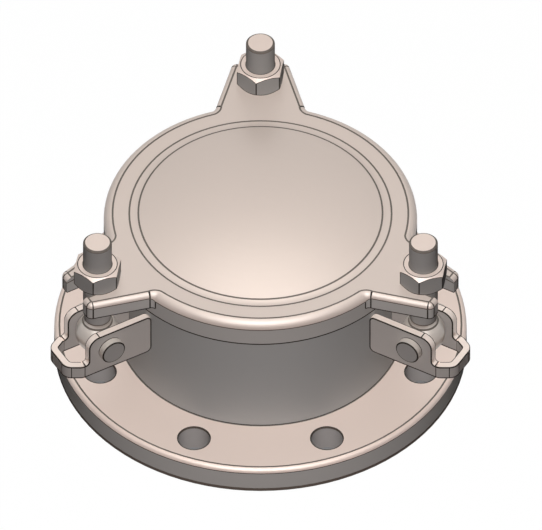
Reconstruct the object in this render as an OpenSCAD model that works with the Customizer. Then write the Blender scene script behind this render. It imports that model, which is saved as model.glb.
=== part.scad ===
// Three-point inspection hatch: bolting flange, neck, dished lid with forked ears, three swing eyebolts.
// Millimetres. Origin at the centre of the flange underside, +Z up the neck, +Y towards the rear bolt.

/* [Flange] */
// Outside diameter of the bolting flange
flange_od = 285; // [275:1:300]
// Flange thickness
flange_t = 20; // [16:1:26]
// Rounding of the upper outside edge
flange_edge_r = 3; // [1:0.5:5]
// How far the flange bolts lie inside the middle between neck and flange edge
flange_bolt_shift = 0.5; // [0:0.5:2]
// Number of flange bolts
flange_holes = 8; // [8:4:12]
// Diameter of the flange bolt holes
flange_hole_d = 22; // [18:1:23]

/* [Neck] */
// Clear bore through flange and neck
bore_d = 170; // [164:1:174]
// Wall thickness of the neck
neck_wall = 13.5; // [11:0.5:15]
// Height of the neck rim above the flange underside
neck_h = 110; // [104:1:130]
// Depth of the register that takes the neck in the flange
register_depth = 3; // [1:0.5:5]
// Radial clearance of the neck in its register and in the lid recess
register_clear = 0.1; // [0.05:0.05:0.3]

/* [Lid] */
// Reach of the lid rim beyond the neck
lid_lip = 9.8; // [7.8:0.2:12]
// Rim thickness of the lid
lid_t = 20; // [18:1:26]
// Rounding of the upper outside edge of the rim
lid_edge_r = 5.5; // [3:0.5:6]
// Distance of the dome foot outside the bore
dome_margin = 5; // [2:0.5:8]
// Width of the hollow blend at the foot of the dome
dome_blend_w = 5; // [3:0.5:6]
// Radius of the hollow blend at the foot of the dome
dome_blend_r = 22; // [18:1:30]
// Wall thickness of the dome
dome_wall = 12; // [9:1:13]
// Depth of the recess that drops over the neck rim
recess_depth = 3; // [2:0.5:4]
// Distance of the hollow under the dome inside the bore
hollow_margin = 7; // [6:0.5:15]

/* [Gasket] */
// Thickness of the gasket ring
gasket_t = 3.5; // [3:0.5:5]
// Depth of the gasket groove in the lid
groove_depth = 2; // [1:0.5:2.5]
// Radial width of the gasket ring
gasket_w = 8.5; // [6:0.5:9]
// Clearance on each side of the gasket in its groove
groove_clear = 0.3; // [0.1:0.1:0.6]

/* [Ears] */
// Distance of the eyebolts from the lid rim
bolt_offset = 21.7; // [20:0.1:25]
// Ear thickness, flush with the lid top
ear_t = 13; // [10:0.5:16]
// Half width of an ear at the bolt axis
ear_half_w = 24.25; // [22:0.25:26]
// Reach of the prong tips beyond the bolt axis
ear_reach = 18; // [16:0.5:20]
// Side taper of an ear in degrees
ear_taper = 15; // [10:1:18]
// Rounding of the upper ear edges
ear_edge_r = 3.2; // [1.5:0.1:4]
// Corner radius of the prong tips
ear_tip_r = 4; // [1:0.5:6]
// Upright root rounding between ear and rim
ear_root_r = 4; // [2:0.5:8]
// Side clearance between bolt shank and slot
slot_clear = 1; // [0.5:0.25:2]

/* [Eyebolts] */
// Diameter of the threaded shank
bolt_d = 20; // [19:0.5:20]
// Diameter of the plain neck between thread and eye
bolt_neck_d = 18.4; // [16:0.2:18.8]
// Length of thread below the nut seat
thread_below = 18; // [15:1:22]
// Shank length above the nut
bolt_stick = 21; // [20:1:30]
// Chamfer on the bolt end
bolt_chamfer = 1; // [0.5:0.25:2]
// Ball diameter of the eye
eye_d = 30.4; // [30:0.2:31]
// Height of the ball centre above the pin axis
eye_rise = 0.8; // [0:0.2:1]
// Width of the eye across its flats
eye_w = 22.8; // [20:0.2:23]
// Hollow rounding between ball and neck
eye_fillet_r = 4.8; // [2:0.2:6]
// Radial running clearance of the eye on its pin
pin_run = 0.05; // [0.02:0.01:0.1]

/* [Nuts] */
// Width across flats
nut_af = 30; // [28:0.5:30]
// Nut height
nut_h = 16; // [13:0.5:18]
// How far the upper chamfer cuts in at the flats
nut_face_cut = 1.5; // [1:0.25:2.5]
// How far the seat chamfer cuts in at the flats
nut_seat_cut = 0.3; // [0.1:0.1:1.5]
// Radial clearance of the nut on the shank
nut_run = 0.05; // [0.02:0.01:0.1]
// Turn of the nut corners from the outward direction in degrees
nut_turn = -10; // [-30:1:30]

/* [Pivot pins] */
// Pin diameter
pin_d = 18; // [14:0.5:18]
// Height of the pin axis above the flange face
pin_rise = 57.5; // [52:0.5:62]
// Length of each pin end outside the strap
pin_stick = 5.6; // [3:0.1:8]
// Chamfer on the pin ends
pin_chamfer = 0.6; // [0.4:0.1:2]

/* [Brackets] */
// Strap thickness
strap_t = 5.4; // [4:0.2:6.4]
// Gap between an eye flat and the strap
eye_gap = 0.6; // [0.2:0.1:0.8]
// Height of the strap cheeks
strap_h = 33; // [30:0.5:36]
// Distance of the cheek bottom below the pin axis
strap_drop = 19; // [16:0.5:20]
// Height of the low band that joins the cheeks
band_h = 10.5; // [8:0.5:12]
// Reach of the cheeks beyond the bolt axis
cheek_reach = 16.6; // [15:0.2:18]
// Upper outer corner radius of the cheeks
cheek_corner_r = 8.5; // [4:0.5:10]
// Reach of the band beyond the bolt axis
band_reach = 32.2; // [30:0.2:36]
// Inward bend angle of the band in degrees
band_bend = 30; // [24:1:35]
// Outside bend radius of the band
band_bend_r = 8; // [7:0.5:9]
// Corner radius beside the neck
strap_foot_r = 4; // [2:0.5:6]
// Rounding in the notch between cheek and band
notch_r = 2.5; // [1:0.5:4]

/* [Hidden] */
$fn = 96;
rear = 90;
left = 210;
right = 330;
// How far a cutter runs past the face that it opens.
over = 1;
bore_r = bore_d / 2;
neck_r = bore_r + neck_wall;
lid_r = neck_r + lid_lip;
bolt_circle_r = lid_r + bolt_offset;
flange_r = flange_od / 2;
flange_bolts_r = (neck_r + flange_r) / 2 - flange_bolt_shift;
neck_foot_z = flange_t - register_depth;
// The lid rests on the gasket, which stands proud of its groove by the sealing gap.
seal_gap = gasket_t - groove_depth;
recess_z = neck_h + seal_gap;
lid_z = recess_z - recess_depth;
lid_top = lid_z + lid_t;
gasket_mid_r = (bore_r + neck_r) / 2;
// The dome is a sphere cap, tangent to the hollow blend at its foot.
foot_r = bore_r + dome_margin;
cap_r = foot_r - dome_blend_w;
foot_angle = asin(dome_blend_w / dome_blend_r);
blend_rise = dome_blend_r * (1 - cos(foot_angle));
dome_r = cap_r / sin(foot_angle);
dome_z = lid_top + blend_rise - dome_r * cos(foot_angle);
slot_r = bolt_d / 2 + slot_clear;
ear_tip_u = bolt_circle_r + ear_reach;
pin_z = flange_t + pin_rise;
pin_r = pin_d / 2;
bolt_r = bolt_d / 2;
nut_top = lid_top + nut_h;
bolt_top = nut_top + bolt_stick;
strap_in = eye_w / 2 + eye_gap;
strap_out = strap_in + strap_t;
strap_z = pin_z - strap_drop;
pin_half = strap_out + pin_stick;
cheek_end_u = bolt_circle_r + cheek_reach;
band_end_u = bolt_circle_r + band_reach;
// The band leaves the cheek line this far beyond the cheek end.
band_start = 3;
// Depth of an ear's root inside the flat top of the rim.
ear_bury = 6;
// A welded edge stands this far off the neck, so that the two solids only meet.
weld_gap = 0.02;

function unit(v) = v / norm(v);

// Arc of radius r about c that runs from direction d0 to direction d1 in n steps.
function arc_between(c, r, d0, d1, n) =
    let (w = acos(d0 * d1))
    [for (i = [0 : n]) c + r * (sin((n - i) * w / n) * d0 + sin(i * w / n) * d1) / sin(w)];

// Rounds corner q between its neighbours p and s.
function corner(p, q, s, r, n = 8) =
    let (a = unit(p - q), b = unit(s - q), half = acos(a * b) / 2,
         c = q + unit(a + b) * r / sin(half), t = r / tan(half))
    arc_between(c, r, unit(q + a * t - c), unit(q + b * t - c), n);

// Closed outline with each corner rounded by its own radius, or left sharp at zero.
function rounded(pts, radii) =
    let (m = len(pts))
    [for (i = [0 : m - 1])
        each radii[i] > 0
            ? corner(pts[(i + m - 1) % m], pts[i], pts[(i + 1) % m], radii[i])
            : [pts[i]]];

// Turns a part drawn with u outward along +X to its station at angle a.
module station(a) {
    rotate([0, 0, a]) children();
}

// Round bolting flange with a register for the neck.
module flange() {
    edge_in = flange_r - flange_edge_r;
    color([0.66, 0.64, 0.61])
    difference() {
        rotate_extrude() {
            translate([bore_r, 0]) square([edge_in - bore_r, flange_t]);
            translate([bore_r, 0]) square([flange_r - bore_r, flange_t - flange_edge_r]);
            translate([edge_in, flange_t - flange_edge_r]) circle(r = flange_edge_r);
        }
        translate([0, 0, neck_foot_z])
            cylinder(r = neck_r + register_clear, h = register_depth + over);
        for (i = [0 : flange_holes - 1])
            rotate([0, 0, (i + 0.5) * 360 / flange_holes])
                translate([flange_bolts_r, 0, -over])
                    cylinder(d = flange_hole_d, h = flange_t + 2 * over);
    }
}

// Plain pipe neck, its foot in the flange register and its rim under the lid.
module neck() {
    h = neck_h - neck_foot_z;
    color([0.60, 0.59, 0.57])
    translate([0, 0, neck_foot_z])
        difference() {
            cylinder(r = neck_r, h = h);
            translate([0, 0, -over]) cylinder(r = bore_r, h = h + 2 * over);
        }
}

// Dished lid with three forked ears, one casting.
module lid() {
    color([0.70, 0.67, 0.64])
    difference() {
        union() {
            lid_round();
            for (a = [rear, left, right])
                station(a) ear();
        }
        translate([0, 0, lid_z - over])
            cylinder(r = neck_r + register_clear, h = recess_depth + over);
        gasket_groove();
        lid_hollow();
    }
}

// Turned body of the lid: rounded rim, hollow blend and dome cap.
module lid_round() {
    blend = [for (i = [0 : 8])
        let (a = foot_angle * i / 8)
        [foot_r - dome_blend_r * sin(a), lid_top + dome_blend_r * (1 - cos(a))]];
    rotate_extrude() {
        translate([0, lid_z]) square([lid_r - lid_edge_r, lid_t]);
        translate([0, lid_z]) square([lid_r, lid_t - lid_edge_r]);
        translate([lid_r - lid_edge_r, lid_top - lid_edge_r]) circle(r = lid_edge_r);
    }
    rotate_extrude()
        polygon(concat([[cap_r - over, lid_top - over], [foot_r, lid_top - over]], blend,
            [[cap_r - over, lid_top + blend_rise]]));
    intersection() {
        translate([0, 0, lid_top - over]) cylinder(r = cap_r, h = dome_r);
        translate([0, 0, dome_z]) sphere(r = dome_r, $fn = 180);
    }
}

// Ring groove that holds the gasket.
module gasket_groove() {
    half_w = gasket_w / 2 + groove_clear;
    translate([0, 0, recess_z - over])
        difference() {
            cylinder(r = gasket_mid_r + half_w, h = groove_depth + over);
            translate([0, 0, -over]) cylinder(r = gasket_mid_r - half_w, h = groove_depth + 3 * over);
        }
}

// Hollow under the dome, one wall thickness below its outside.
module lid_hollow() {
    intersection() {
        translate([0, 0, recess_z - over]) cylinder(r = bore_r - hollow_margin, h = dome_r);
        translate([0, 0, dome_z]) sphere(r = dome_r - dome_wall, $fn = 180);
    }
}

// One forked ear with its top edges rounded and its slot open outwards.
module ear() {
    translate([0, 0, lid_top - ear_t])
        difference() {
            linear_extrude(height = ear_t) ear_plan();
            for (side = [-1, 1]) ear_side_cut(side);
            ear_tip_cut();
        }
    for (side = [-1, 1]) ear_root(side);
}

// Plan of an ear, from inside the rim outwards: tapered sides, rounded tip corners and the slot.
module ear_plan() {
    root_u = lid_r - lid_edge_r - ear_bury;
    root_w = ear_half_w + (bolt_circle_r - root_u) * tan(ear_taper);
    tip_w = ear_half_w - ear_reach * tan(ear_taper);
    difference() {
        polygon(rounded(
            [[root_u, -root_w], [ear_tip_u, -tip_w], [ear_tip_u, tip_w], [root_u, root_w]],
            [0, ear_tip_r, ear_tip_r, 0]));
        translate([bolt_circle_r, 0]) circle(r = slot_r);
        translate([bolt_circle_r, -slot_r]) square([ear_reach + over, 2 * slot_r]);
    }
}

// Cutter that rounds the top edge along one ear side.
module ear_side_cut(side) {
    r = ear_edge_r;
    run = 2 * (bolt_circle_r - gasket_mid_r);
    translate([bolt_circle_r, side * ear_half_w, ear_t])
        rotate([0, 0, -side * ear_taper])
            difference() {
                translate([-run, side > 0 ? -r : -over, -r]) cube([2 * run, r + over, r + over]);
                translate([-run - over, -side * r, -r])
                    rotate([0, 90, 0]) cylinder(r = r, h = 2 * (run + over));
            }
}

// Cutter that rounds the top edge across the prong tips.
module ear_tip_cut() {
    r = ear_edge_r;
    w = ear_half_w;
    translate([ear_tip_u, 0, ear_t])
        difference() {
            translate([-r, -w, -r]) cube([r + over, 2 * w, r + over]);
            translate([-r, w + over, -r]) rotate([90, 0, 0]) cylinder(r = r, h = 2 * (w + over));
        }
}

// Upright hollow rounding where an ear side meets the rim.
module ear_root(side) {
    r = ear_root_r;
    b = tan(ear_taper);
    a = ear_half_w + bolt_circle_r * b + r / cos(ear_taper);
    reach = lid_r + r;
    cu = (a * b + sqrt(pow(a * b, 2) - (1 + b * b) * (a * a - reach * reach))) / (1 + b * b);
    c = [cu, a - b * cu];
    on_rim = -unit(c);
    on_side = [-sin(ear_taper), -cos(ear_taper)];
    inner = c + on_rim * 2 * r + on_side * r;
    translate([0, 0, lid_top - ear_t])
        linear_extrude(height = ear_t - lid_edge_r)
            mirror([0, side > 0 ? 0 : 1])
                polygon(concat([c + on_rim * 2 * r], arc_between(c, r, on_rim, on_side, 8),
                    [c + on_side * 2 * r, inner]));
}

// Flat sealing ring between lid and neck rim.
module gasket() {
    color([0.10, 0.10, 0.11])
    translate([0, 0, neck_h])
        difference() {
            cylinder(r = gasket_mid_r + gasket_w / 2, h = gasket_t);
            translate([0, 0, -over]) cylinder(r = gasket_mid_r - gasket_w / 2, h = gasket_t + 2 * over);
        }
}

// Folded strap bracket: two cheeks that hold the pin, joined by a low band round the front.
module bracket(a) {
    color([0.62, 0.61, 0.59])
    station(a)
        difference() {
            intersection() {
                translate([0, 0, strap_z - over])
                    linear_extrude(height = strap_h + 2 * over) strap_plan();
                translate([0, strap_out + over, 0])
                    rotate([90, 0, 0])
                        linear_extrude(height = 2 * (strap_out + over)) strap_side();
            }
            translate([0, 0, strap_z - over]) cylinder(r = neck_r + weld_gap, h = strap_h + 2 * over);
            translate([bolt_circle_r, strap_out + over, pin_z])
                rotate([90, 0, 0]) cylinder(r = pin_r, h = 2 * (strap_out + over));
        }
}

// Plan of the strap: its bent outline less the same outline one thickness inside.
module strap_plan() {
    bend_r = band_bend_r;
    b1 = cheek_end_u + band_start + bend_r * tan(band_bend / 2);
    v2 = strap_out - (band_end_u - b1) * tan(band_bend);
    c1 = b1 - strap_t * tan(band_bend / 2);
    c2 = band_end_u - strap_t;
    w2 = strap_in - (c2 - c1) * tan(band_bend);
    in_r = bend_r - strap_t;
    difference() {
        polygon(rounded(
            [[bore_r, -strap_out], [b1, -strap_out], [band_end_u, -v2],
             [band_end_u, v2], [b1, strap_out], [bore_r, strap_out]],
            [0, bend_r, bend_r, bend_r, bend_r, 0]));
        polygon(rounded(
            [[bore_r - over, -strap_in], [c1, -strap_in], [c2, -w2],
             [c2, w2], [c1, strap_in], [bore_r - over, strap_in]],
            [0, in_r, in_r, in_r, in_r, 0]));
    }
}

// Side view of the strap: cheek, notch and low band.
module strap_side() {
    foot = sqrt(neck_r * neck_r - strap_out * strap_out);
    top = strap_z + strap_h;
    band_top = strap_z + band_h;
    polygon(rounded(
        [[foot, strap_z], [band_end_u + over, strap_z], [band_end_u + over, band_top],
         [cheek_end_u, band_top], [cheek_end_u, top], [foot, top]],
        [strap_foot_r, 0, 0, notch_r, cheek_corner_r, strap_foot_r]));
}

// Plain pivot pin, pressed into both cheeks, its chamfered ends standing out.
module pin(a) {
    color([0.58, 0.57, 0.55])
    station(a)
        translate([bolt_circle_r, pin_half, pin_z])
            rotate([90, 0, 0]) {
                cylinder(r1 = pin_r - pin_chamfer, r2 = pin_r, h = pin_chamfer);
                translate([0, 0, pin_chamfer])
                    cylinder(r = pin_r, h = 2 * (pin_half - pin_chamfer));
                translate([0, 0, 2 * pin_half - pin_chamfer])
                    cylinder(r1 = pin_r, r2 = pin_r - pin_chamfer, h = pin_chamfer);
            }
}

// Swing eyebolt: turned shank, neck and ball, then two flats and the pin hole.
module eyebolt(a) {
    eye_r = eye_d / 2;
    color([0.56, 0.55, 0.54])
    station(a)
        translate([bolt_circle_r, 0, pin_z])
            difference() {
                rotate_extrude() eyebolt_profile();
                for (side = [-1, 1])
                    translate([-eye_r - over, side > 0 ? eye_w / 2 : -eye_w / 2 - eye_r, -eye_r - over])
                        cube([2 * (eye_r + over), eye_r, 2 * (eye_r + over) + eye_rise]);
                translate([0, eye_r + over, 0])
                    rotate([90, 0, 0]) cylinder(r = pin_r + pin_run, h = 2 * (eye_r + over));
            }
}

// Half section of the turned eyebolt, its origin on the pin axis.
module eyebolt_profile() {
    eye_r = eye_d / 2;
    neck = bolt_neck_d / 2;
    top = bolt_top - pin_z;
    thread_z = lid_top - thread_below - pin_z;
    // The fillet circle touches the ball and the neck.
    fillet_u = neck + eye_fillet_r;
    fillet_z = eye_rise + sqrt(pow(eye_r + eye_fillet_r, 2) - fillet_u * fillet_u);
    intersection() {
        translate([0, eye_rise]) circle(r = eye_r);
        translate([0, eye_rise - eye_r]) square([eye_r, 2 * eye_r]);
    }
    difference() {
        polygon([[0, eye_rise], [fillet_u, fillet_z], [0, fillet_z]]);
        translate([fillet_u, fillet_z]) circle(r = eye_fillet_r);
    }
    polygon([[0, 0], [neck, eye_rise], [neck, thread_z - (bolt_r - neck)], [bolt_r, thread_z],
        [bolt_r, top - bolt_chamfer], [bolt_r - bolt_chamfer, top], [0, top]]);
}

// Hexagon nut on an ear, its corners cut back at the outer face and at the seat.
module nut(a) {
    corner_r = nut_af / 2 / cos(30);
    wide_r = corner_r + over;
    face_r = nut_af / 2 - nut_face_cut;
    seat_r = nut_af / 2 - nut_seat_cut;
    face_drop = (wide_r - face_r) * tan(30);
    color([0.60, 0.59, 0.57])
    station(a)
        translate([bolt_circle_r, 0, lid_top])
            difference() {
                intersection() {
                    rotate([0, 0, nut_turn]) cylinder(r = corner_r, h = nut_h, $fn = 6);
                    rotate_extrude()
                        polygon([[0, 0], [seat_r, 0], [wide_r, wide_r - seat_r],
                                 [wide_r, nut_h - face_drop], [face_r, nut_h], [0, nut_h]]);
                }
                translate([0, 0, -over]) cylinder(r = bolt_r + nut_run, h = nut_h + 2 * over);
            }
}

flange();
neck();
lid();
gasket();
bracket(rear);  // bracket_rear
bracket(left);  // bracket_left
bracket(right);  // bracket_right
pin(rear);  // pin_rear
pin(left);  // pin_left
pin(right);  // pin_right
eyebolt(rear);  // eyebolt_rear
eyebolt(left);  // eyebolt_left
eyebolt(right);  // eyebolt_right
nut(rear);  // nut_rear
nut(left);  // nut_left
nut(right);  // nut_right
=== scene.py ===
import bmesh
import bpy
import math
from mathutils import Matrix, Vector


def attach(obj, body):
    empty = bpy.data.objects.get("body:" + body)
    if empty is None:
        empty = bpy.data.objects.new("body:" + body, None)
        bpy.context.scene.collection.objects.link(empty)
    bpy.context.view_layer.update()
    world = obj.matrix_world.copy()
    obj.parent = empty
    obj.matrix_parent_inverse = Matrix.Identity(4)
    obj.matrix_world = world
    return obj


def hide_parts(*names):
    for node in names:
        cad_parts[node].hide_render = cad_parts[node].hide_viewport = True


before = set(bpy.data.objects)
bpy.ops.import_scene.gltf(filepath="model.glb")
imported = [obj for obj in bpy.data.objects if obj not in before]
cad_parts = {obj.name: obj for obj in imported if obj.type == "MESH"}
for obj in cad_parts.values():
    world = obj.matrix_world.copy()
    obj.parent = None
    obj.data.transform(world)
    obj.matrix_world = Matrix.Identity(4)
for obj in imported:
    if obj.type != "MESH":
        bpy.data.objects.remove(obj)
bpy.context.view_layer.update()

# FLANGE
# A round steel bolting flange, turned and drilled, with a small radius on its upper outside edge.
# The short pipe neck stands in a shallow register on its top face and is welded there.
flange_r = 142.5
flange_t = 20.0
flange_edge_r = 3.0
flange_bolts = 8
flange_pcd_r = 120.0
flange_hole_r = 11.0
bore_r = 85.0
register_r = 98.6
register_z = 17.0
round_steps = 96
hole_steps = 32
flange_edge_steps = 6
tangent_r = flange_r - flange_edge_r
edge_foot_z = flange_t - flange_edge_r

# Edges and seams show as dark lines. Each is a narrow face of one of these widths.
line_w = 1.05
hair_line = line_w * 0.4
half_line = line_w * 0.5
thin_line = line_w * 0.6
face_line = line_w * 0.7
tangent_line = line_w * 1.3
hole_line = line_w * 1.4
foot_line = line_w * 2.6

# Material slots that every piece has, and those for finishes of its own.
own_slot = 0
edge_slot = 1
faced_light_slot = 2
seam_slot = 3
extra_slot = 4
second_extra_slot = 5

# What counts as level, upright, near or the same spot when faces are picked and merged.
level_z = 0.99
upright_z = 0.1
margin = 1.0
near = 0.01
merge_gap = 0.004
sharp_angle = math.radians(24)
millimetre = 0.001

cloud_size = 9.0
cloud_detail = 3.0
grain_detail = 2.0
grain_share = 0.35
grain_middle = 0.675
bump_strength = 0.12
bump_depth = 0.0002


def maths(tree, operation, *given):
    """A math node, its inputs linked or set in order. Returns its output."""
    node = tree.nodes.new("ShaderNodeMath")
    node.operation = operation
    for socket, value in zip(node.inputs, given):
        if isinstance(value, bpy.types.NodeSocket):
            tree.links.new(value, socket)
        else:
            socket.default_value = value
    return node.outputs[0]


def noise(tree, place, size, detail):
    """A noise texture on the piece's own coordinates. Returns its output."""
    node = tree.nodes.new("ShaderNodeTexNoise")
    node.inputs["Detail"].default_value = detail
    tree.links.new(place, node.inputs["Vector"])
    tree.links.new(size, node.inputs["Scale"])
    return node.outputs["Fac"]


def steel_grain():
    """Node group: the cloudy tone and the fine grain that all the pieces share."""
    group = bpy.data.node_groups.new("steel_grain", "ShaderNodeTree")
    group.interface.new_socket("Tone", in_out="INPUT", socket_type="NodeSocketColor")
    for label in ("Roughness", "Cloud size", "Cloud", "Grain size", "Grain"):
        group.interface.new_socket(label, in_out="INPUT", socket_type="NodeSocketFloat")
    group.interface.new_socket("Color", in_out="OUTPUT", socket_type="NodeSocketColor")
    for label in ("Roughness", "Height"):
        group.interface.new_socket(label, in_out="OUTPUT", socket_type="NodeSocketFloat")
    given = group.nodes.new("NodeGroupInput").outputs
    result = group.nodes.new("NodeGroupOutput").inputs
    place = group.nodes.new("ShaderNodeTexCoord").outputs["Object"]
    cloud = noise(group, place, given["Cloud size"], cloud_detail)
    grain = noise(group, place, given["Grain size"], grain_detail)
    both = maths(group, "MULTIPLY_ADD", grain, grain_share, cloud)
    centred = maths(group, "SUBTRACT", both, grain_middle)
    toned = group.nodes.new("ShaderNodeVectorMath")
    toned.operation = "SCALE"
    group.links.new(given["Tone"], toned.inputs[0])
    group.links.new(maths(group, "MULTIPLY_ADD", centred, given["Cloud"], 1.0), toned.inputs["Scale"])
    group.links.new(toned.outputs[0], result["Color"])
    rough = maths(group, "MULTIPLY_ADD", centred, given["Cloud"], given["Roughness"])
    group.links.new(rough, result["Roughness"])
    group.links.new(maths(group, "MULTIPLY", grain, given["Grain"]), result["Height"])
    return group


grain_group = steel_grain()


def steel(name, tone, roughness, metallic, cloud=0.06, grain=0.1, grain_size=900.0, gloss=0.5):
    """A satin finish: the shared grain with this piece's own tone and gloss."""
    finish = bpy.data.materials.new(name)
    finish.use_nodes = True
    nodes, links = finish.node_tree.nodes, finish.node_tree.links
    shader = nodes["Principled BSDF"]
    shader.inputs["Metallic"].default_value = metallic
    shader.inputs["Specular IOR Level"].default_value = gloss
    surface = nodes.new("ShaderNodeGroup")
    surface.node_tree = grain_group
    surface.inputs["Tone"].default_value = (*tone, 1.0)
    surface.inputs["Roughness"].default_value = roughness
    surface.inputs["Cloud size"].default_value = cloud_size
    surface.inputs["Cloud"].default_value = cloud
    surface.inputs["Grain size"].default_value = grain_size
    surface.inputs["Grain"].default_value = grain
    bump = nodes.new("ShaderNodeBump")
    bump.inputs["Strength"].default_value = bump_strength
    bump.inputs["Distance"].default_value = bump_depth
    links.new(surface.outputs["Color"], shader.inputs["Base Color"])
    links.new(surface.outputs["Roughness"], shader.inputs["Roughness"])
    links.new(surface.outputs["Height"], bump.inputs["Height"])
    links.new(bump.outputs["Normal"], shader.inputs["Normal"])
    return finish


def matt(name, tone, roughness=0.6, cloud=0.06):
    """A finish without gloss, for upright walls, which would mirror the white background, and for lines."""
    return steel(name, tone, roughness, metallic=0.0, cloud=cloud, gloss=0.0)


flange_finish = steel("warm_satin_steel", (0.69, 0.56, 0.495), roughness=0.36, metallic=0.14)
# Painted light: the bolt holes' walls get their own copy of the steel, toned lighter to lift the shade
# inside the holes.
bored_light_finish = matt("bored_hole_painted_light", (0.42, 0.415, 0.41), cloud=0.04)
# Painted shade: the upright outer wall gets a copy of the same steel that is darker than the top face, and
# without gloss.
wall_shade_finish = matt("turned_wall_painted_shade", (0.445, 0.445, 0.435))
# Painted light: faces that look up, on the nuts and the bolt ends, get a lighter copy of the steel than
# their upright sides.
faced_light_finish = steel("faced_end_painted_light", (0.63, 0.515, 0.455), roughness=0.34, metallic=0.14, cloud=0.04)
edge_finish = matt("darkened_edge", (0.042, 0.037, 0.033), roughness=0.8, cloud=0.3)
seam_finish = matt("soft_seam", (0.15, 0.128, 0.112), roughness=0.8, cloud=0.3)


def whole(bm):
    """All the vertices, edges and faces of a mesh."""
    return bm.verts[:] + bm.edges[:] + bm.faces[:]


def sweep(bm, start, centre, degrees, steps):
    """Sweeps one vertex round a centre in plan and returns the arc's vertices in order."""
    first = bm.verts.new(start)
    before = set(bm.verts)
    bmesh.ops.spin(bm, geom=[first], cent=centre, axis=(0, 0, 1), angle=math.radians(degrees), steps=steps)
    return [first] + [v for v in bm.verts if v not in before]


def turn(bm, profile, steps, axis=(0, 0, 1), cent=(0, 0, 0)):
    """Turns a profile, a chain of points, once round an axis as on a lathe."""
    verts = [bm.verts.new(p) for p in profile]
    edges = [bm.edges.new(pair) for pair in zip(verts, verts[1:])]
    bmesh.ops.spin(bm, geom=verts + edges, cent=cent, axis=axis, angle=2 * math.pi, steps=steps,
                   use_merge=True)


def darken(faces, slot=edge_slot):
    """Gives narrow faces along an edge the darkened finish, or the softer seam, with crisp borders."""
    for face in faces:
        face.material_index = slot
        for edge in face.edges:
            edge.smooth = False


def close_up(bm):
    """Merges the seams of a piece and turns its faces outwards."""
    bmesh.ops.remove_doubles(bm, verts=bm.verts, dist=merge_gap)
    bmesh.ops.recalc_face_normals(bm, faces=bm.faces)


def add_piece(bm, name, finish, body, node, extra=()):
    """Brings a piece from millimetres to metres, shades it and puts it on its body for the CAD node."""
    bmesh.ops.scale(bm, vec=(millimetre, millimetre, millimetre), verts=bm.verts)
    for face in bm.faces:
        face.smooth = True
    for edge in bm.edges:
        if len(edge.link_faces) == 2 and edge.calc_face_angle(0.0) > sharp_angle:
            edge.smooth = False
    mesh = bpy.data.meshes.new(name)
    bm.to_mesh(mesh)
    bm.free()
    for material in (finish, edge_finish, faced_light_finish, seam_finish, *extra):
        mesh.materials.append(material)
    piece = bpy.data.objects.new(name, mesh)
    bpy.context.collection.objects.link(piece)
    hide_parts(node)
    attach(piece, body)


def drilled_plate(bm, inner_r, outer_r, z):
    """A flat ring with the bolt holes left open: one bay between two holes, filled and copied round."""
    bay = 360 / flange_bolts
    steps = round_steps // flange_bolts
    new = bmesh.new()
    turn_in = Matrix.Rotation(math.radians(bay / 2), 3, "Z")
    onward = Matrix.Rotation(math.radians(bay), 3, "Z")
    outer = sweep(new, turn_in @ Vector((outer_r, 0, z)), (0, 0, 0), bay, steps)
    inner = sweep(new, turn_in @ Vector((inner_r, 0, z)), (0, 0, 0), bay, steps)
    hole = turn_in @ Vector((flange_pcd_r, 0, z))
    hole_rim = Vector((flange_pcd_r + flange_hole_r, 0, z))
    near_half = sweep(new, turn_in @ hole_rim, hole, 180, hole_steps // 2)
    far_half = sweep(new, onward @ turn_in @ hole_rim, onward @ hole, -180, hole_steps // 2)
    for a, b in ((outer[0], near_half[0]), (near_half[-1], inner[0]), (inner[-1], far_half[-1]),
                 (far_half[0], outer[-1])):
        new.edges.new((a, b))
    bmesh.ops.edgeloop_fill(new, edges=new.edges)
    bmesh.ops.spin(new, geom=whole(new), cent=(0, 0, 0), axis=(0, 0, 1), angle=math.radians(360 - bay),
                   steps=flange_bolts - 1, use_duplicate=True)
    plate = bpy.data.meshes.new("plate")
    new.to_mesh(plate)
    new.free()
    bm.from_mesh(plate)
    bpy.data.meshes.remove(plate)


flange = bmesh.new()
drilled_plate(flange, register_r, tangent_r, flange_t)
drilled_plate(flange, bore_r, flange_r, 0.0)
close_up(flange)
for i in range(flange_bolts):
    a = math.radians((i + 0.5) * 360 / flange_bolts)
    outward = Vector((math.cos(a), math.sin(a), 0))
    wall = outward * (flange_pcd_r + flange_hole_r)
    turn(flange, [wall + Vector((0, 0, z)) for z in (flange_t, flange_t - hole_line, 0.0)], hole_steps,
         cent=outward * flange_pcd_r)
edge_arc = []
for i in range(flange_edge_steps + 1):
    a = math.radians(i * 90 / flange_edge_steps)
    edge_arc.append((tangent_r + flange_edge_r * math.sin(a), 0, edge_foot_z + flange_edge_r * math.cos(a)))
turn(flange, edge_arc + [(flange_r, 0, z) for z in (edge_foot_z - thin_line, foot_line, 0)], round_steps)
turn(flange, [(register_r, 0, flange_t), (register_r, 0, register_z), (bore_r, 0, register_z),
              (bore_r, 0, 0)], round_steps)
close_up(flange)
top_faces = [f for f in flange.faces if f.normal.z > level_z and f.calc_center_median().z > flange_t - near]
darken(bmesh.ops.inset_region(flange, faces=top_faces, thickness=face_line, use_even_offset=True,
                              use_boundary=True)["faces"])
bmesh.ops.inset_region(flange, faces=top_faces, thickness=half_line, use_even_offset=True,
                       use_boundary=True)
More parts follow.
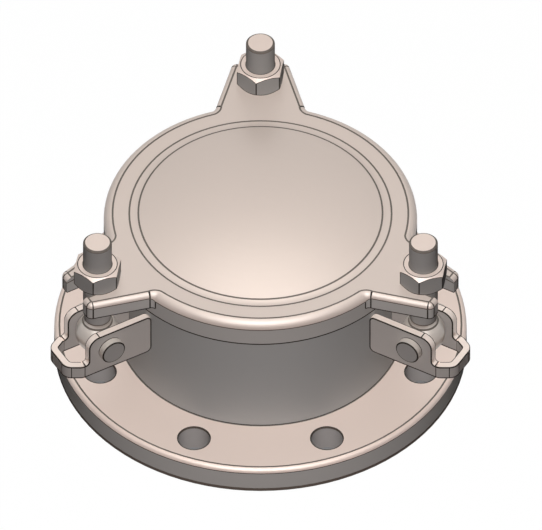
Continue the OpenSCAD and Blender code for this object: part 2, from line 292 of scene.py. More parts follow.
for f in flange.faces:
    c = f.calc_center_median()
    out = c.xy.length
    if f.normal.z > level_z:
        if tangent_r - tangent_line < out < tangent_r or abs(out - register_r) < face_line:
            darken([f], seam_slot)
    elif abs(f.normal.z) > upright_z:
        continue
    elif out > flange_r - margin and c.z < edge_foot_z:
        # Painted shade: the upright outer wall takes the darker wall copy of the steel.
        f.material_index = second_extra_slot
        if c.z < foot_line:
            darken([f], seam_slot)
        elif c.z > edge_foot_z - thin_line:
            darken([f])
    elif abs(out - flange_pcd_r) < flange_hole_r + margin:
        # Painted light: the hole walls take the lighter bored copy of the steel.
        f.material_index = extra_slot
        if c.z > flange_t - hole_line:
            darken([f], seam_slot)
add_piece(flange, "flange_turned", flange_finish, "hatch", "flange",
          extra=(bored_light_finish, wall_shade_finish))

# NECK
# A length of thick steel pipe, faced at both ends. Its foot stands in the flange's register
# and its rim carries the gasket and the lid.
neck_r = 98.5
neck_top = 110.0

# Painted shade: the upright neck gets a copy of the steel that is darker than the flange's top face.
neck_shade_finish = matt("drawn_pipe_painted_shade", (0.34, 0.347, 0.345))
neck = bmesh.new()
turn(neck, [(bore_r, 0, register_z), (neck_r, 0, register_z), (neck_r, 0, flange_t),
            (neck_r, 0, flange_t + thin_line), (neck_r, 0, neck_top), (bore_r, 0, neck_top),
            (bore_r, 0, register_z)], round_steps)
close_up(neck)
darken([f for f in neck.faces if flange_t < f.calc_center_median().z < flange_t + thin_line])
add_piece(neck, "neck_pipe", neck_shade_finish, "hatch", "neck")

# STRAP BRACKETS
# Each is one strip of flat steel: cut to a low band with two high cheeks, then folded into a U.
# The cheek ends are welded to the neck and the band passes in front of the eye.
bolt_u = 130.0
strap_t = 5.4
strap_out = 17.4
strap_z = 58.5
strap_top = 91.5
band_top = 69.0
cheek_end_u = 146.6
band_end_u = 162.2
bend_start_u = 149.6
bend_r = 8.0
first_bend = 30.0
cheek_corner_r = 8.5
notch_r = 2.5
foot_corner_r = 4.0
weld_gap = 0.02
corner_steps = 7
bend_1_steps = 5
bend_2_steps = 6
strap_line = line_w * 0.9
mark_reach = line_w * 0.3
mark_rise = 0.05
half_merge = 0.01
cut_gap = 0.001
stations = {"rear": 90.0, "left": 210.0, "right": 330.0}

# Painted shade and light: the strap's upright faces get a darker copy of the steel, and its cut edges a
# lighter, glossier one.
strap_shade_finish = matt("strap_steel", (0.40, 0.383, 0.368))
sheared_light_finish = steel("sheared_edge_painted_light", (0.78, 0.66, 0.59), roughness=0.3, metallic=0.14, cloud=0.04)
strap_foot_u = math.sqrt((neck_r + weld_gap) ** 2 - strap_out ** 2)

# The strap's outer face in plan, from the neck to the middle of the band: straight, bend, straight, bend.
bend_1 = bend_start_u - strap_foot_u
arc_1 = bend_r * math.radians(first_bend)
slope = math.radians(first_bend)
after_u = bend_start_u + bend_r * math.sin(slope)
after_v = strap_out - bend_r * (1 - math.cos(slope))
second_u = band_end_u - bend_r * (1 - math.sin(slope))
run = (second_u - after_u) / math.cos(slope)
second_v = after_v - run * math.sin(slope)
arc_2 = bend_r * (math.pi / 2 - slope)
bend_2 = bend_1 + arc_1 + run
front_v = second_v - bend_r * math.cos(slope)
half_length = bend_2 + arc_2 + front_v


def folded(s):
    """Plan position on the strap's outer face at distance s from the neck."""
    if s <= bend_1:
        return strap_foot_u + s, strap_out
    if s <= bend_1 + arc_1:
        a = (s - bend_1) / bend_r
        return bend_start_u + bend_r * math.sin(a), strap_out - bend_r * (1 - math.cos(a))
    if s <= bend_2:
        d = s - bend_1 - arc_1
        return after_u + d * math.cos(slope), after_v - d * math.sin(slope)
    if s <= bend_2 + arc_2:
        a = slope + (s - bend_2) / bend_r
        return (second_u + bend_r * (math.sin(a) - math.sin(slope)),
                second_v - bend_r * (math.cos(slope) - math.cos(a)))
    return band_end_u, front_v - (s - bend_2 - arc_2)


def slice_at(bm, spot, normal, cut_off=False):
    """Cuts the faces of a piece along a plane. What lies beyond the plane stays, unless it is cut off."""
    bmesh.ops.bisect_plane(bm, geom=whole(bm), dist=cut_gap, plane_co=spot, plane_no=normal,
                           clear_outer=cut_off)


def mirror_half(bm, gap):
    """Adds the other half of a piece, on the far side of its middle plane."""
    bmesh.ops.mirror(bm, geom=whole(bm), matrix=Matrix.Identity(4), merge_dist=gap, axis="Y")


def turn_to(bm, angle):
    """Turns a piece that was made on the x axis to its station round the neck."""
    bmesh.ops.rotate(bm, verts=bm.verts, cent=(0, 0, 0),
                     matrix=Matrix.Rotation(math.radians(angle), 3, "Z"))


def strap_bracket(name, angle):
    """One folded bracket at its station."""
    bm = bmesh.new()
    cheek_end = cheek_end_u - strap_foot_u
    corners = [bm.verts.new((s, 0, z)) for s, z in
               ((0, strap_z), (half_length, strap_z), (half_length, band_top),
                (cheek_end, band_top), (cheek_end, strap_top), (0, strap_top))]
    bm.faces.new(corners)
    for corner, r in ((corners[4], cheek_corner_r), (corners[3], notch_r), (corners[5], foot_corner_r),
                      (corners[0], foot_corner_r)):
        bmesh.ops.bevel(bm, geom=[corner], offset=r, offset_type="OFFSET", segments=corner_steps,
                        profile=0.5, affect="VERTICES", material=-1)
    lines = [bend_1, bend_2, bend_2 + arc_2]
    marks = [(cheek_end - cheek_corner_r, strap_top), (cheek_end + notch_r, band_top)]
    cuts = [bend_1 + arc_1 * i / bend_1_steps for i in range(bend_1_steps + 1)]
    cuts += [bend_2 + arc_2 * i / bend_2_steps for i in range(bend_2_steps + 1)]
    cuts += [s + thin_line for s in lines]
    cuts += [s + side * hair_line for s, _ in marks for side in (-1, 1)]
    for s in sorted(cuts):
        slice_at(bm, (s, 0, 0), (1, 0, 0))
    border = bmesh.ops.inset_region(bm, faces=bm.faces[:], thickness=strap_line, use_even_offset=True,
                                    use_boundary=True)["faces"]
    middle_border = [f for f in border if all(abs(v.co.x - half_length) < line_w for v in f.verts)]
    darken([f for f in border if f not in middle_border])
    darken([f for f in bm.faces if any(0 < f.calc_center_median().x - s < thin_line for s in lines)])
    for v in bm.verts:
        v.co.x, v.co.y = folded(v.co.x)
    mirror_half(bm, half_merge)
    close_up(bm)
    inside = Vector((bolt_u, 0, (strap_z + strap_top) / 2))
    if sum(f.normal.dot(f.calc_center_median() - inside) for f in bm.faces) < 0:
        bmesh.ops.reverse_faces(bm, faces=bm.faces)
    outer = set(bm.verts)
    bmesh.ops.solidify(bm, geom=bm.faces[:], thickness=strap_t)
    cut_edge = [f for f in bm.faces if 0 < sum(v in outer for v in f.verts) < len(f.verts)]
    # Painted light: the cut edges take the lighter, glossier copy of the steel.
    for f in cut_edge:
        f.material_index = extra_slot
    darken(bmesh.ops.inset_region(bm, faces=cut_edge, thickness=half_line, use_boundary=True)["faces"])
    for s, z in marks:
        for f in cut_edge:
            c = f.calc_center_median()
            if abs(c.x - strap_foot_u - s) < mark_reach and abs(c.z - z) < mark_rise:
                darken([f])
    turn_to(bm, angle)
    add_piece(bm, "strap_bracket_" + name, strap_shade_finish, "hatch", "bracket_" + name,
              extra=(sheared_light_finish,))


for name, angle in stations.items():
    strap_bracket(name, angle)

# PIVOT PINS
# Plain turned pins with chamfered ends, pressed through both cheeks of a bracket.
# The eye of the swing bolt turns on the middle of the pin.
pin_z = 77.5
pin_r = 9.0
pin_half = 23.0
pin_chamfer = 0.6
pin_sunk = 0.5
pin_steps = 48

# Painted shade and light: the bolts' shanks, the nuts' flats and the pins' ends get a darker copy of the
# steel, and the balls and the pins' round sides a lighter, glossier one.
bolt_shade_finish = matt("turned_bolt_painted_shade", (0.295, 0.29, 0.282), cloud=0.05)
ball_light_finish = steel("ball_painted_light", (0.56, 0.50, 0.45), roughness=0.3, metallic=0.2, cloud=0.04)


def pivot_pin(name, angle):
    """One pivot pin at its station, with a dark seam where it enters each cheek."""
    bm = bmesh.new()
    end_r = pin_r - pin_chamfer
    profile = []
    for side in (-1, 1):
        half = [(0.0, pin_half), (end_r - hair_line, pin_half), (end_r, pin_half),
                (pin_r, pin_half - pin_chamfer), (pin_r, strap_out + thin_line),
                (pin_r, strap_out - pin_sunk)]
        points = [(bolt_u, side * v, pin_z + r) for r, v in half]
        profile += points if side < 0 else points[::-1]
    turn(bm, profile, pin_steps, axis=(0, 1, 0), cent=(bolt_u, 0, pin_z))
    close_up(bm)
    for f in bm.faces:
        c = f.calc_center_median()
        r = math.hypot(c.x - bolt_u, c.z - pin_z)
        v = abs(c.y)
        # Painted light: the pin's round side takes the lighter ball copy, and its ends keep the darker one
        # (painted shade).
        if v < pin_half - pin_chamfer:
            f.material_index = extra_slot
        at_end = v > pin_half - pin_chamfer and r > end_r - hair_line
        if at_end or strap_out - pin_sunk < v < strap_out + thin_line:
            darken([f])
    turn_to(bm, angle)
    add_piece(bm, "pivot_pin_" + name, bolt_shade_finish, "hatch", "pin_" + name,
              extra=(ball_light_finish,))


for name, angle in stations.items():
    pivot_pin(name, angle)

# GASKET
# A flat rubber ring, held in a groove under the lid and pressed by the neck's rim.
gasket_r = 91.75
gasket_half = 4.25
gasket_top = 113.5

rubber = steel("black_rubber", (0.03, 0.03, 0.032), roughness=0.7, metallic=0.0, cloud=0.5, grain=0.3,
               grain_size=2500.0)
gasket = bmesh.new()
turn(gasket, [(gasket_r - gasket_half, 0, neck_top), (gasket_r + gasket_half, 0, neck_top),
              (gasket_r + gasket_half, 0, gasket_top), (gasket_r - gasket_half, 0, gasket_top),
              (gasket_r - gasket_half, 0, neck_top)], round_steps)
close_up(gasket)
add_piece(gasket, "gasket_ring", rubber, "hatch", "gasket")

# LID
# One stainless casting: a thick round rim, a shallow dome with a hollow blend at its foot, and three
# forked ears that carry the nuts. It is turned inside and drops over the rim of the neck.
lid_r = 108.3
lid_z = 108.5
lid_top = 128.5
lid_edge_r = 5.5
ear_t = 13.0
ear_half_w = 24.25
ear_tip_u = 148.0
ear_taper = math.radians(15.0)
ear_edge_r = 3.2
ear_tip_r = 4.0
ear_root_r = 4.0
slot_r = 11.0
dome_foot_r = 90.0
dome_blend_w = 5.0
dome_blend_r = 22.0
dome_wall = 12.0
recess_r = 98.6
recess_z = 111.5
groove_outer_r = 96.3
groove_inner_r = 87.2
groove_z = 113.5
hollow_r = 78.0
ears = 3
bay_half = 180 / ears
rim_steps = 12
root_steps = 6
tip_steps = 5
slot_steps = 8
ear_arc_steps = 5
foot_steps = 16
lid_edge_steps = 7
blend_steps = 5
dome_steps = 12
hollow_steps = 9
wall_line = line_w * 0.8
dome_line = line_w * 1.2
lid_merge = 0.005
flat_z = 0.9999
flat_gap = 0.001
lid_upright_z = 0.05
ring_gap = 0.02

lid_finish = steel("cast_satin_steel", (0.545, 0.455, 0.405), roughness=0.36, metallic=0.14, cloud=0.05)
# Painted shade: the lid's upright faces get a copy of the cast steel that is darker than its top, and
# without gloss.
lid_side_shade_finish = matt("cast_side_painted_shade", (0.41, 0.40, 0.387), cloud=0.07)


def lift(bm, loop, spots):
    """Extrudes a chain of vertices and moves the copies to their spots. Returns the new chain and faces."""
    edges = [bm.edges.get(pair) for pair in zip(loop, loop[1:])]
    made = bmesh.ops.extrude_edge_only(bm, edges=edges)["geom"]
    fresh = {g for g in made if isinstance(g, bmesh.types.BMVert)}
    raised = [next(e.other_vert(v) for e in v.link_edges if e.other_vert(v) in fresh) for v in loop]
    faces = [next(f for f in e.link_faces if a in f.verts and b in f.verts)
             for e, a, b in zip(edges, raised, raised[1:])]
    for f in faces:
        f.material_index = own_slot
    for v, spot in zip(raised, spots):
        v.co = spot
    return raised, faces


lid = bmesh.new()
ear_z = lid_top - ear_t
tan_t, cos_t, sin_t = math.tan(ear_taper), math.cos(ear_taper), math.sin(ear_taper)
side_at_0 = ear_half_w + bolt_u * tan_t + ear_root_r / cos_t
reach = lid_r + ear_root_r
root_u = (side_at_0 * tan_t + math.sqrt((side_at_0 * tan_t) ** 2
          - (1 + tan_t ** 2) * (side_at_0 ** 2 - reach ** 2))) / (1 + tan_t ** 2)
root = Vector((root_u, side_at_0 - tan_t * root_u, ear_z))
root_deg = math.degrees(math.atan2(root.y, root.x))
side_deg = 90 - math.degrees(ear_taper)
tip_v = ear_half_w - (ear_tip_u - bolt_u) * tan_t
tip = Vector((ear_tip_u - ear_tip_r, tip_v + ear_tip_r * tan_t - ear_tip_r / cos_t, ear_z))

# Half of one ear's outline, from the middle of the rim bay to the slot: rim, root, side, tip, slot.
half = []
bay_middle = math.radians(bay_half)
rim = sweep(lid, (lid_r * math.cos(bay_middle), lid_r * math.sin(bay_middle), ear_z), (0, 0, 0),
            root_deg - bay_half, rim_steps)
half += [(v, -v.co.xy.normalized(), lid_edge_r) for v in rim]
root_start = root - ear_root_r * Vector((root.x, root.y, 0)).normalized()
root_arc = sweep(lid, root_start, root, side_deg - root_deg, root_steps)
for i, v in enumerate(root_arc[1:]):
    share = (i + 1) / root_steps
    half.append((v, (v.co - root).xy.normalized(), lid_edge_r + (ear_edge_r - lid_edge_r) * share))
tip_arc = sweep(lid, tip + ear_tip_r * Vector((sin_t, cos_t, 0)), tip, -side_deg, tip_steps)
half += [(v, (tip - v.co).xy.normalized(), ear_edge_r) for v in tip_arc]
mouth = lid.verts.new((ear_tip_u, slot_r, ear_z))
half.append((mouth, Vector((-1, 0)), ear_edge_r))
slot_arc = sweep(lid, (bolt_u, slot_r, ear_z), (bolt_u, 0, ear_z), 90, slot_steps)
half += [(v, Vector((0, 0)), 0.0) for v in slot_arc]
lid.verts.remove(root_arc[0])


def beside(bm, joint, other):
    """An extra outline point just beside a joint, on the way to its neighbour."""
    share = half_line / (other[0].co - joint[0].co).length
    vert = bm.verts.new(joint[0].co.lerp(other[0].co, share))
    return vert, joint[1].lerp(other[1], share), joint[2] + (other[2] - joint[2]) * share


# An upright line marks where the rim, the root, the side and the tip corner meet.
root_last = len(rim) - 1 + root_steps
joints = [len(rim) - 1, root_last, root_last + 1, root_last + 1 + tip_steps]
outline = []
narrow = []
for i, point in enumerate(half):
    if i in joints:
        narrow += [len(outline), len(outline) + 1]
        outline += [beside(lid, point, half[i - 1]), point, beside(lid, point, half[i + 1])]
    else:
        outline.append(point)
for edge in lid.edges[:]:
    lid.edges.remove(edge)
chain = [v for v, _, _ in outline]
for a, b in zip(chain, chain[1:]):
    lid.edges.new((a, b))
inward = [n for _, n, _ in outline]
radii = [r for _, _, r in outline]
plan = [v.co.copy() for v in chain]
rim_end = chain.index(rim[-1])


def wall_at(z):
    """The outline at a height on the wall, or at the foot of the edge rounding where that is lower."""
    return [Vector((p.x, p.y, min(z, lid_top - r))) for p, r in zip(plan, radii)]


def rounding_at(angle):
    """The outline at an angle up the edge rounding."""
    c, s = math.cos(angle), math.sin(angle)
    return [Vector((p.x + n.x * r * (1 - c), p.y + n.y * r * (1 - c), lid_top - r + r * s))
            for p, n, r in zip(plan, inward, radii)]


level, faces = lift(lid, chain, wall_at(ear_z + wall_line))
darken(faces[rim_end:])
level, faces = lift(lid, level, [Vector((p.x, p.y, lid_top - max(r, line_w) - wall_line))
                                 for p, r in zip(plan, radii)])
darken([faces[i] for i in narrow])
level, faces = lift(lid, level, wall_at(lid_top))
darken(faces, seam_slot)
for i in range(1, lid_edge_steps + 1):
    level, faces = lift(lid, level, rounding_at(math.radians(i * 90 / lid_edge_steps)))
    darken([faces[k] for k in narrow[2:]])


def fill(bm, loop):
    """Fills a closed chain of vertices with one flat face, adding the edges that are missing."""
    edges = []
    for a, b in zip(loop, loop[1:] + loop[:1]):
        edges.append(bm.edges.get((a, b)) or bm.edges.new((a, b)))
    bmesh.ops.edgeloop_fill(bm, edges=edges)


ear_arc = sweep(lid, (lid_r, 0, ear_z), (0, 0, 0), root_deg, ear_arc_steps)
lid.verts.remove(ear_arc.pop())
fill(lid, chain[rim_end:] + ear_arc)
foot_arc = sweep(lid, (dome_foot_r, 0, lid_top), (0, 0, 0), bay_half, foot_steps)
fill(lid, level + foot_arc)
mirror_half(lid, lid_merge)
turn_to(lid, stations["rear"])
bmesh.ops.spin(lid, geom=whole(lid), cent=(0, 0, 0), axis=(0, 0, 1), angle=math.radians(360 - 360 / ears),
               steps=ears - 1, use_duplicate=True)
close_up(lid)


def ring_edges(bm, radius, z):
    """The edges of one horizontal circle round the axis."""
    on_it = {v for v in bm.verts if abs(v.co.xy.length - radius) < ring_gap and abs(v.co.z - z) < ring_gap}
    return [e for e in bm.edges if e.verts[0] in on_it and e.verts[1] in on_it]


def step_ring(bm, edges, radius, z):
    """Extrudes a closed circle to a new radius and height. Returns the new edges and faces."""
    made = bmesh.ops.extrude_edge_only(bm, edges=edges)["geom"]
    verts = [g for g in made if isinstance(g, bmesh.types.BMVert)]
    for v in verts:
        v.co.xy = v.co.xy.normalized() * radius
        v.co.z = z
    new = [g for g in made if isinstance(g, bmesh.types.BMEdge) and all(v in verts for v in g.verts)]
    faces = [g for g in made if isinstance(g, bmesh.types.BMFace)]
    for f in faces:
        f.material_index = own_slot
    return new, faces


# Below the ears: the plain wall of the rim, the recess for the neck, the gasket groove and the hollow.
foot_angle = math.asin(dome_blend_w / dome_blend_r)
blend_rise = dome_blend_r * (1 - math.cos(foot_angle))
dome_rim_r = dome_foot_r - dome_blend_w
dome_r = dome_rim_r / math.sin(foot_angle)
dome_z = lid_top + blend_rise - dome_r * math.cos(foot_angle)
hollow_dome = dome_r - dome_wall
edges, faces = step_ring(lid, ring_edges(lid, lid_r, ear_z), lid_r, lid_z + line_w)
edges, faces = step_ring(lid, edges, lid_r, lid_z)
darken(faces)
for radius, z in ((recess_r, lid_z), (recess_r, recess_z), (groove_outer_r, recess_z),
                  (groove_outer_r, groove_z), (groove_inner_r, groove_z), (groove_inner_r, recess_z),
                  (hollow_r, recess_z)):
    edges, faces = step_ring(lid, edges, radius, z)
for i in range(hollow_steps):
    radius = hollow_r * (1 - i / hollow_steps)
    edges, faces = step_ring(lid, edges, radius, dome_z + math.sqrt(hollow_dome ** 2 - radius ** 2))
bmesh.ops.edgeloop_fill(lid, edges=edges)

# The hollow blend and the dome, from the foot circle to the crown.
edges = ring_edges(lid, dome_foot_r, lid_top)
for i in range(1, blend_steps + 1):
    a = foot_angle * i / blend_steps
    edges, faces = step_ring(lid, edges, dome_foot_r - dome_blend_r * math.sin(a),
                             lid_top + dome_blend_r * (1 - math.cos(a)))
for i in range(dome_steps):
    radius = (dome_rim_r - dome_line) * (1 - i / dome_steps)
    edges, faces = step_ring(lid, edges, radius, dome_z + math.sqrt(dome_r ** 2 - radius ** 2))
    if i == 0:
        darken(faces, seam_slot)
bmesh.ops.edgeloop_fill(lid, edges=edges)
close_up(lid)
top_faces = [f for f in lid.faces
             if f.normal.z > flat_z and abs(f.calc_center_median().z - lid_top) < flat_gap]
darken(bmesh.ops.inset_region(lid, faces=top_faces, thickness=dome_line, use_even_offset=True,
                              use_boundary=True)["faces"], seam_slot)
# Painted shade: upright faces of the lid take the darker side copy of the steel.
for f in lid.faces:
    if abs(f.normal.z) < lid_upright_z and f.material_index == own_slot:
        f.material_index = extra_slot
add_piece(lid, "lid_casting", lid_finish, "hatch", "lid", extra=(lid_side_shade_finish,))

# SWING EYEBOLTS
# Turned M20 bolts with a ball eye, flattened on both sides and bored for the pivot pin.
# A hollow radius leads from the ball to a plain neck, a small step to the thread; the end is chamfered.
eye_r = 15.2
eye_rise = 0.8
eye_half_w = 11.4
eye_bore_r = 9.05
bolt_r = 10.0
bolt_neck_r = 9.2
eye_fillet_r = 4.8
thread_z = 110.5
bolt_top = 165.5
bolt_chamfer = 1.0
turn_steps = 56
ball_steps = 24
fillet_steps = 8


def circle_loop(bm, centre, radius, steps):
    """A closed circle of edges round the pin axis."""
    made = bmesh.ops.create_circle(bm, radius=radius, segments=steps)["verts"]
    bmesh.ops.rotate(bm, verts=made, cent=(0, 0, 0), matrix=Matrix.Rotation(math.radians(90), 3, "X"))
    bmesh.ops.translate(bm, verts=made, vec=centre)
    return [e for e in bm.edges if e.verts[0] in made and e.verts[1] in made]


def swing_bolt(name, angle):
    """One eyebolt at its station: turned, then two flats are cut on the ball and the pin hole is bored."""
    bm = bmesh.new()
    ball_z = pin_z + eye_rise
    fillet_r = bolt_neck_r + eye_fillet_r
    fillet_z = ball_z + math.sqrt((eye_r + eye_fillet_r) ** 2 - fillet_r ** 2)
    lean = math.atan2(fillet_z - ball_z, fillet_r)
    end_r = bolt_r - bolt_chamfer
    chamfer_z = bolt_top - bolt_chamfer
    profile = []
    for i in range(ball_steps + 1):
        a = -math.pi / 2 + (lean + math.pi / 2) * i / ball_steps
        profile.append((eye_r * math.cos(a), ball_z + eye_r * math.sin(a)))
    for i in range(fillet_steps + 1):
        a = lean * (1 - i / fillet_steps)
        profile.append((fillet_r - eye_fillet_r * math.cos(a), fillet_z - eye_fillet_r * math.sin(a)))
    step_z = thread_z - (bolt_r - bolt_neck_r)
    profile += [(bolt_neck_r, fillet_z + line_w), (bolt_neck_r, step_z), (bolt_r, thread_z),
                (bolt_r, chamfer_z - hair_line), (bolt_r, chamfer_z), (end_r, bolt_top),
                (end_r - half_line, bolt_top), (0.0, bolt_top)]
    turn(bm, [(bolt_u + r, 0, z) for r, z in profile], turn_steps, cent=(bolt_u, 0, 0))
    close_up(bm)
    tangent_z = ball_z + eye_r * math.sin(lean)
    for f in bm.faces:
        c = f.calc_center_median()
        r = math.hypot(c.x - bolt_u, c.y)
        # Painted light: the bolt's end face takes the lighter faced copy and the ball the lighter ball
        # copy; the shank keeps the darker one (painted shade).
        if c.z > bolt_top - near:
            f.material_index = faced_light_slot
        elif c.z < fillet_z:
            f.material_index = extra_slot
        at_seam = tangent_z < c.z < tangent_z + line_w or fillet_z < c.z < fillet_z + line_w
        if at_seam or (c.z > chamfer_z - hair_line and r > end_r - half_line):
            darken([f], seam_slot)
    for side in (-1, 1):
        flat = Vector((bolt_u, side * eye_half_w, pin_z))
        out = Vector((0, side, 0))
        slice_at(bm, flat - out * thin_line, out)
        slice_at(bm, flat, out, cut_off=True)
        darken([f for f in bm.faces if side * f.calc_center_median().y > eye_half_w - thin_line])
    holes = []
    for side in (-1, 1):
        rim_loop = [e for e in bm.edges if e.is_boundary and side * e.verts[0].co.y > 0]
        hole = circle_loop(bm, (bolt_u, side * eye_half_w, pin_z), eye_bore_r, turn_steps)
        bmesh.ops.bridge_loops(bm, edges=rim_loop + hole)
        holes += hole
    bmesh.ops.bridge_loops(bm, edges=holes)
    close_up(bm)
    turn_to(bm, angle)
    add_piece(bm, "swing_bolt_" + name, bolt_shade_finish, "swing_bolt_" + name, "eyebolt_" + name,
              extra=(ball_light_finish,))


for name, angle in stations.items():
    swing_bolt(name, angle)

# NUTS
# Hexagon nuts, 30 mm across flats, chamfered on both faces. They clamp the ears of the lid.
nut_af = 30.0
nut_h = 16.0
nut_sides = 6
nut_face_r = 14.0
nut_seat_r = 14.7
nut_chamfer = math.radians(30.0)
nut_turn = -10.0
nut_steps = 72
thread_gap = 0.05
nut_bore_r = bolt_r + thread_gap
flat_corners = 8
facing_up = 0.5


def clamp_nut(name, angle):
    """One nut at its station: turned with its chamfers, then milled to six flats."""
    bm = bmesh.new()
    blank_r = nut_af / 2 / math.cos(math.pi / nut_sides) + margin
    cut = (blank_r - nut_face_r) * math.tan(nut_chamfer)
    section = [(nut_bore_r, 0), (nut_seat_r, 0), (blank_r, blank_r - nut_seat_r), (blank_r, nut_h - cut),
               (nut_face_r, nut_h), (nut_face_r - thin_line, nut_h), (nut_bore_r + hair_line, nut_h),
               (nut_bore_r, nut_h), (nut_bore_r, 0)]
    turn(bm, [(bolt_u + r, 0, lid_top + z) for r, z in section], nut_steps, cent=(bolt_u, 0, 0))
    close_up(bm)
    for i in range(nut_sides):
        a = math.radians(nut_turn + (i + 0.5) * 360 / nut_sides)
        away = Vector((math.cos(a), math.sin(a), 0))
        slice_at(bm, Vector((bolt_u, 0, lid_top)) + away * nut_af / 2, away, cut_off=True)
        bmesh.ops.edgeloop_fill(bm, edges=[e for e in bm.edges if e.is_boundary])
    close_up(bm)
    flats = [f for f in bm.faces if abs(f.normal.z) < upright_z and len(f.verts) > flat_corners]
    darken(bmesh.ops.inset_individual(bm, faces=flats, thickness=half_line, use_even_offset=True)["faces"])
    for f in bm.faces:
        c = f.calc_center_median()
        r = math.hypot(c.x - bolt_u, c.y)
        # Painted light: faces that look up take the lighter faced copy; the upright flats keep the darker
        # one (painted shade).
        if f.normal.z > facing_up:
            f.material_index = faced_light_slot
        if f.normal.z > level_z and (r > nut_face_r - thin_line or r < nut_bore_r + hair_line):
            darken([f])
    turn_to(bm, angle)
    add_piece(bm, "clamp_nut_" + name, bolt_shade_finish, "clamp_nut_" + name, "nut_" + name)


for name, angle in stations.items():
    clamp_nut(name, angle)

# FLOOR, LIGHT AND CAMERA
# A plain pale floor and soft studio light: one overhead box casts the shadow, three fills without shadow
# light the sides, and two lamps show only in gloss. The camera looks down at 45 degrees, in parallel view.
floor_half = 4.0
floor_drop = 0.0005
floor = bmesh.new()
bmesh.ops.create_grid(floor, x_segments=1, y_segments=1, size=floor_half)
bmesh.ops.translate(floor, verts=floor.verts, vec=(0, 0, -floor_drop))
floor_mesh = bpy.data.meshes.new("floor")
floor.to_mesh(floor_mesh)
floor.free()
floor_object = bpy.data.objects.new("floor", floor_mesh)
bpy.context.collection.objects.link(floor_object)


def sees_background(tree):
    """A value that is 1 for the rays that show the background: camera, glossy and transmission rays."""
    rays = tree.nodes.new("ShaderNodeLightPath").outputs
    total = rays["Is Camera Ray"]
    for label in ("Is Glossy Ray", "Is Transmission Ray"):
        total = maths(tree, "MAXIMUM", total, rays[label])
    return total


def between(tree, share, low, high):
    """A value that goes from low to high as the share goes from 0 to 1."""
    node = tree.nodes.new("ShaderNodeMapRange")
    node.inputs["To Min"].default_value = low
    node.inputs["To Max"].default_value = high
    tree.links.new(share, node.inputs["Value"])
    return node.outputs["Result"]


def show_mixed(tree, share, first, second, output):
    """Shows a mix of two shaders: the second one's part is the share."""
    mix = tree.nodes.new("ShaderNodeMixShader")
    tree.links.new(share, mix.inputs[0])
    tree.links.new(first, mix.inputs[1])
    tree.links.new(second, mix.inputs[2])
    tree.links.new(mix.outputs[0], tree.nodes[output].inputs["Surface"])


# Only the rays that show the background see the floor pale and glowing, so it throws little light up.
# Under the flange, where only the bolt holes show it, a round mask paints the floor darker: a painted
# shadow.
floor_glow = 0.98
floor_pale = 0.95
floor_shade = 0.03
# Radius and tone of the painted shadow on the floor under the flange.
painted_shadow_r = 0.141
painted_shadow_tone = 0.2
floor_finish = bpy.data.materials.new("pale_floor")
floor_finish.use_nodes = True
tree = floor_finish.node_tree
shader = tree.nodes["Principled BSDF"]
shader.inputs["Roughness"].default_value = 1.0
shader.inputs["Specular IOR Level"].default_value = 0.0
distance = tree.nodes.new("ShaderNodeVectorMath")
distance.operation = "LENGTH"
tree.links.new(tree.nodes.new("ShaderNodeTexCoord").outputs["Object"], distance.inputs[0])
outside_painted_shadow = maths(tree, "GREATER_THAN", distance.outputs["Value"], painted_shadow_r)
seen = sees_background(tree)
pale = maths(tree, "MULTIPLY", seen, between(tree, outside_painted_shadow, painted_shadow_tone, 1.0))
tree.links.new(between(tree, pale, floor_shade, floor_pale), shader.inputs["Base Color"])
glow = tree.nodes.new("ShaderNodeEmission")
glow_share = maths(tree, "MULTIPLY", maths(tree, "MULTIPLY", seen, outside_painted_shadow), floor_glow)
show_mixed(tree, glow_share, shader.outputs[0], glow.outputs[0], "Material Output")
floor_mesh.materials.append(floor_finish)

# The world is white for the same rays, and for the object's own light it is black, weakly lit overhead.
horizon_tone = (0.0, 0.0, 0.0)
zenith_tone = (0.12, 0.12, 0.12)
world = bpy.data.worlds.new("studio")
bpy.context.scene.world = world
world.use_nodes = True
tree = world.node_tree
split = tree.nodes.new("ShaderNodeSeparateXYZ")
tree.links.new(tree.nodes.new("ShaderNodeTexCoord").outputs["Generated"], split.inputs[0])
ramp = tree.nodes.new("ShaderNodeValToRGB")
for stop, position, colour in zip(ramp.color_ramp.elements, (0.0, 1.0), (horizon_tone, zenith_tone)):
    stop.position = position
    stop.color = (*colour, 1)
tree.links.new(split.outputs["Z"], ramp.inputs[0])
background = tree.nodes["Background"]
background.inputs["Strength"].default_value = 1.0
tree.links.new(ramp.outputs[0], background.inputs["Color"])
white = tree.nodes.new("ShaderNodeBackground")
white.inputs["Color"].default_value = (1, 1, 1, 1)
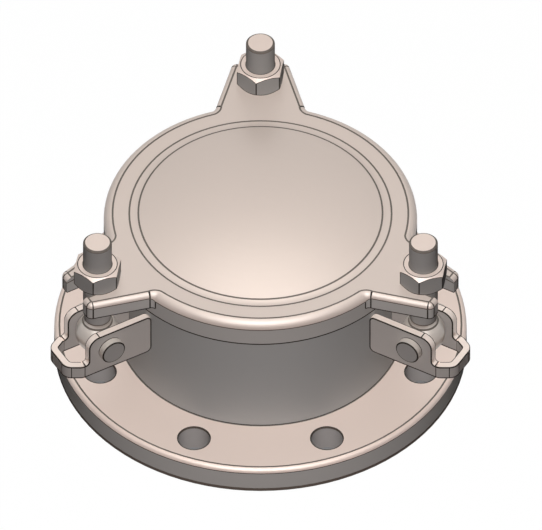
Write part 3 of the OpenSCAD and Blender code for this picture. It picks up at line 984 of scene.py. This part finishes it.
show_mixed(tree, sees_background(tree), background.outputs[0], white.outputs[0], "World Output")

lamp_aim = Vector((0, 0, 0.1))
warm_white = (1.0, 0.96, 0.93)
low_warm = (1.0, 0.80, 0.73)
dome_warm = (1.0, 0.97, 0.92)


def lamp(name, place, size, power, colour, shadow=True, diffuse=True, glossy=True):
    """A square soft box that looks at the object. A fill casts no shadow and may stay out of the gloss.
    A shine lamp shows only in the gloss."""
    data = bpy.data.lights.new(name, "AREA")
    data.size = size
    data.energy = power
    data.color = colour
    data.use_shadow = shadow
    thing = bpy.data.objects.new(name, data)
    thing.visible_diffuse = diffuse
    thing.visible_glossy = glossy
    thing.location = place
    thing.rotation_euler = (lamp_aim - Vector(place)).to_track_quat("-Z", "Y").to_euler()
    bpy.context.collection.objects.link(thing)


lamp("key", (0.0, -0.75, 1.35), size=0.4, power=7.5, colour=(0.80, 1.0, 1.10), shadow=False)
lamp("overhead", (0.0, -0.05, 1.6), size=0.7, power=1.2, colour=warm_white)
lamp("overhead_fill", (0.0, 0.3, 1.6), size=0.7, power=14.7, colour=warm_white, shadow=False, glossy=False)
lamp("front", (0.0, -1.55, 0.5), size=0.5, power=9.0, colour=low_warm, shadow=False, glossy=False)
lamp("shine", (0.0, -0.9, 1.25), size=1.6, power=29.0, colour=(1.0, 1.0, 1.0), shadow=False, diffuse=False)
lamp("dome_shine", (0.0, 0.35, 1.55), size=0.9, power=6.5, colour=dome_warm, shadow=False, diffuse=False)

view_width = 0.3744
view_target = Vector((0.0073, 0.0, 0.0783))
view_distance = 1.2
view_tilt = math.radians(45)
bpy.context.scene.view_settings.view_transform = "Standard"
sight = bpy.data.cameras.new("camera")
sight.type = "ORTHO"
sight.ortho_scale = view_width
camera = bpy.data.objects.new("camera", sight)
camera.location = view_target + Vector((0, -view_distance * math.cos(view_tilt),
                                        view_distance * math.sin(view_tilt)))
camera.rotation_euler = (view_tilt, 0, 0)
bpy.context.collection.objects.link(camera)
bpy.context.scene.camera = camera
